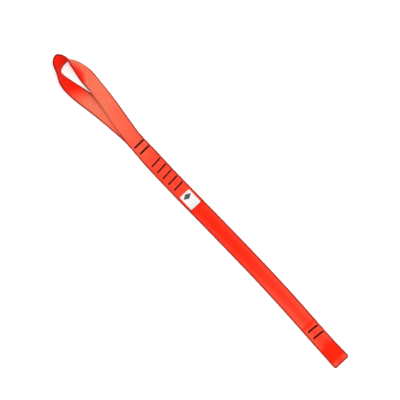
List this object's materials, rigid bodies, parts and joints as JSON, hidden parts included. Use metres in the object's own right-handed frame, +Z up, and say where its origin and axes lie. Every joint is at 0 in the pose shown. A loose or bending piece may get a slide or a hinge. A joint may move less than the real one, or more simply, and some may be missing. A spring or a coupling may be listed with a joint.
{
  "type": "round sling",
  "caption": "Sewn ring sling of flat two-ply webbing with a long open eye at one end, a small eye at the other, dark bar tacks and a sewn label.",
  "frame": {"origin": "middle of the footprint, on the level surface that the sling lies on", "axes": "+X along the strap from the big eye to the small eye, +Y across the webbing, +Z up from the surface"},
  "size_m": [0.6009, 0.0493, 0.026],
  "materials": {
    "webbing": "orange-red woven tubular webbing with a soft sheen",
    "tack_thread": "very dark maroon bonded sewing thread, close zigzag",
    "label": "white woven tag",
    "label_ink": "dark printed ink on the tag",
    "label_thread": "off-white sewing thread"
  },
  "bodies": {
    "splice": {"splice_back_ply": "webbing", "splice_lap_ply": "webbing", "splice_front_ply": "webbing", "bar_tack_3": "tack_thread", "bar_tack_4": "tack_thread", "bar_tack_5": "tack_thread", "bar_tack_6": "tack_thread", "bar_tack_7": "tack_thread", "label": "label", "label_mark": "label_ink", "label_stitching_1": "label_thread", "label_stitching_2": "label_thread"},
    "neck": {"neck_back_ply": "webbing", "neck_front_ply": "webbing", "bar_tack_1": "tack_thread", "bar_tack_2": "tack_thread"},
    "big_eye": {"big_eye_loop": "webbing"},
    "strap_upper": {"strap_upper_back_ply": "webbing", "strap_upper_front_ply": "webbing"},
    "strap_lower": {"strap_lower_back_ply": "webbing", "strap_lower_front_ply": "webbing"},
    "tail": {"tail_back_ply": "webbing", "tail_front_ply": "webbing", "bar_tack_8": "tack_thread", "bar_tack_9": "tack_thread"},
    "small_eye": {"small_eye_loop": "webbing"}
  },
  "joints": [
    {"name": "neck_bend", "type": "hinge", "parent": "splice", "child": "neck", "pos_m": [-0.104, 0, 0.00235], "axis": [0, 1, 0], "range_deg": [-90, 90]},
    {"name": "big_eye_twist", "type": "hinge", "parent": "neck", "child": "big_eye", "pos_m": [-0.137, 0.0009, 0.00235], "axis": [1, 0, 0], "range_deg": [-90, 90]},
    {"name": "strap_bend_upper", "type": "hinge", "parent": "splice", "child": "strap_upper", "pos_m": [0.012, 0, 0.00235], "axis": [0, 1, 0], "range_deg": [-90, 90]},
    {"name": "strap_bend_middle", "type": "hinge", "parent": "strap_upper", "child": "strap_lower", "pos_m": [0.112, 0, 0.00235], "axis": [0, 1, 0], "range_deg": [-90, 90]},
    {"name": "strap_bend_lower", "type": "hinge", "parent": "strap_lower", "child": "tail", "pos_m": [0.214, 0, 0.00235], "axis": [0, 1, 0], "range_deg": [-90, 90]},
    {"name": "small_eye_bend", "type": "hinge", "parent": "tail", "child": "small_eye", "pos_m": [0.264, 0, 0.00235], "axis": [0, 1, 0], "range_deg": [-90, 90]}
  ]
}
